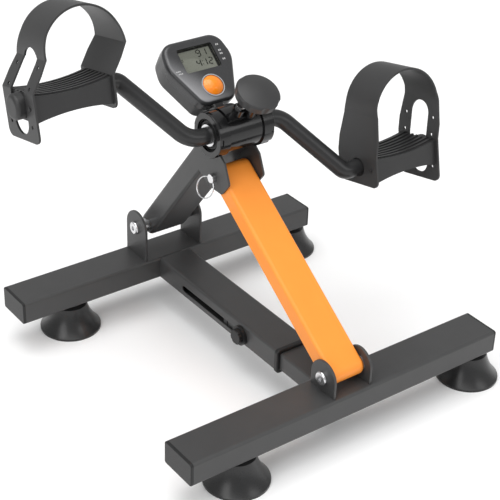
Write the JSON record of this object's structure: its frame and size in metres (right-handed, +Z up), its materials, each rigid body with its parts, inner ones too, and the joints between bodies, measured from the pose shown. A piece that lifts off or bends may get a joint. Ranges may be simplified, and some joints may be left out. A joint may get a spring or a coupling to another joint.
{
  "type": "pedal exerciser",
  "caption": "Folding under-desk pedal exerciser: hinged A-frame on two crossbars with suction feet, bent crank, strapped pedals, tension knob and small display console.",
  "frame": {"origin": "on the floor, midway between the crossbars and in the symmetry plane of the legs", "axes": "+X to the user's right along the crossbars, +Y from the user's side towards the far crossbar, +Z up"},
  "size_m": [0.446, 0.389, 0.4162],
  "materials": {
    "grey": "satin textured powder coat",
    "orange": "smooth semi-gloss powder coat",
    "black_metal": "gloss black enamel",
    "black_plastic": "fine moulded grain",
    "gloss_black": "polished black moulding",
    "pedal_plastic": "satin moulded",
    "strap": "satin soft PVC",
    "foot_rubber": "satin rubber",
    "knob_plastic": "fine moulded grain",
    "zinc": "bright zinc plate",
    "bronze": "sintered bush",
    "console": "semi-gloss metallic grey",
    "console_back": "fine moulded grain",
    "lens": "clear",
    "lcd": "liquid-crystal panel",
    "button": "polished orange",
    "pcb": "solder-masked board",
    "cell": "plain sleeve"
  },
  "bodies": {
    "base_rear": {"rear_crossbar": "grey", "rear_bar_plugs": "black_plastic", "rear_left_foot": "foot_rubber", "rear_right_foot": "foot_rubber", "rear_foot_studs": "zinc", "rear_stud_nuts": "zinc", "base_sleeve": "grey", "sleeve_collar": "black_plastic", "rear_ears": "grey", "rear_pivot_bolt": "zinc", "rear_pivot_nut": "zinc", "rear_pivot_spacers": "zinc"},
    "base_front": {"front_crossbar": "grey", "front_bar_plugs": "black_plastic", "front_left_foot": "foot_rubber", "front_right_foot": "foot_rubber", "front_foot_studs": "zinc", "front_stud_nuts": "zinc", "base_inner_tube": "grey", "inner_tube_glide": "black_plastic", "base_knob_nut": "zinc", "front_ears": "grey", "front_pivot_bolt": "zinc", "front_pivot_nut": "zinc", "front_pivot_washers": "zinc"},
    "base_clamp": {"base_knob": "black_plastic"},
    "grey_leg": {"rear_leg": "grey", "rear_leg_bush": "bronze", "top_ears": "grey", "hub_shell": "gloss_black", "hub_collars": "gloss_black", "hub_bushes": "black_plastic", "brake_shoe": "black_plastic", "console_bracket": "gloss_black", "bracket_screw": "zinc", "console_front": "console", "console_back": "console_back", "display_lens": "lens", "display_panel": "lcd", "circuit_board": "pcb", "battery": "cell", "battery_door": "console_back", "button_bezel": "zinc"},
    "orange_leg": {"front_leg": "orange", "front_leg_bush": "bronze"},
    "crank_rod": {"crank": "black_metal", "axle_washers": "zinc", "spindle_clips": "zinc"},
    "left_pedal": {"left_pedal_body": "pedal_plastic", "left_pedal_strap": "strap", "left_pedal_cap": "pedal_plastic"},
    "right_pedal": {"right_pedal_body": "pedal_plastic", "right_pedal_strap": "strap", "right_pedal_cap": "pedal_plastic"},
    "tension_control": {"tension_screw": "zinc", "tension_knob": "knob_plastic"},
    "console_button": {"mode_button": "button"},
    "pin": {"lock_pin": "zinc"},
    "pull_ring": {"pin_ring": "zinc"}
  },
  "joints": [
    {"name": "base_slide", "type": "slide", "parent": "base_rear", "child": "base_front", "axis": [0, 1, 0], "range_m": [0, 0.045]},
    {"name": "base_knob_turn", "type": "hinge", "parent": "base_front", "child": "base_clamp", "pos_m": [0, -0.02, 0.049], "axis": [-1, 0, 0], "range_deg": [0, 360]},
    {"name": "rear_leg_pivot", "type": "hinge", "parent": "base_rear", "child": "grey_leg", "pos_m": [0, 0.1605, 0.0995], "axis": [1, 0, 0], "range_deg": [-11.8, 0]},
    {"name": "front_leg_pivot", "type": "hinge", "parent": "base_front", "child": "orange_leg", "pos_m": [0, -0.1605, 0.08], "axis": [1, 0, 0], "range_deg": [0, 7.43]},
    {"name": "crank_spin", "type": "hinge", "parent": "grey_leg", "child": "crank_rod", "pos_m": [0, 0.031, 0.268], "axis": [1, 0, 0], "continuous": true},
    {"name": "left_pedal_spin", "type": "hinge", "parent": "crank_rod", "child": "left_pedal", "pos_m": [-0.17, 0.0833, 0.3258], "axis": [1, 0, 0], "continuous": true},
    {"name": "right_pedal_spin", "type": "hinge", "parent": "crank_rod", "child": "right_pedal", "pos_m": [0.17, -0.0213, 0.2102], "axis": [1, 0, 0], "continuous": true},
    {"name": "tension_knob_turn", "type": "hinge", "parent": "grey_leg", "child": "tension_control", "pos_m": [0.011, 0.0083, 0.31255], "axis": [0, -0.454, 0.891], "range_deg": [0, 360]},
    {"name": "console_button_press", "type": "slide", "parent": "grey_leg", "child": "console_button", "axis": [0, 0.6293, -0.7771], "range_m": [0, 0.0015], "stiffness_N_per_m": 400},
    {"name": "lock_pin_pull", "type": "slide", "parent": "grey_leg", "child": "pin", "axis": [-1, 0, 0], "range_m": [0, 0.044]},
    {"name": "pin_ring_swing", "type": "hinge", "parent": "pin", "child": "pull_ring", "pos_m": [-0.0256, 0.03393, 0.21401], "axis": [0, 0.9063, 0.4226], "range_deg": [-18, 18]}
  ],
  "couplings": [
    {"joint": "rear_leg_pivot", "follows": "base_slide", "rad_per_m": -4.569},
    {"joint": "front_leg_pivot", "follows": "base_slide", "rad_per_m": 2.88}
  ]
}
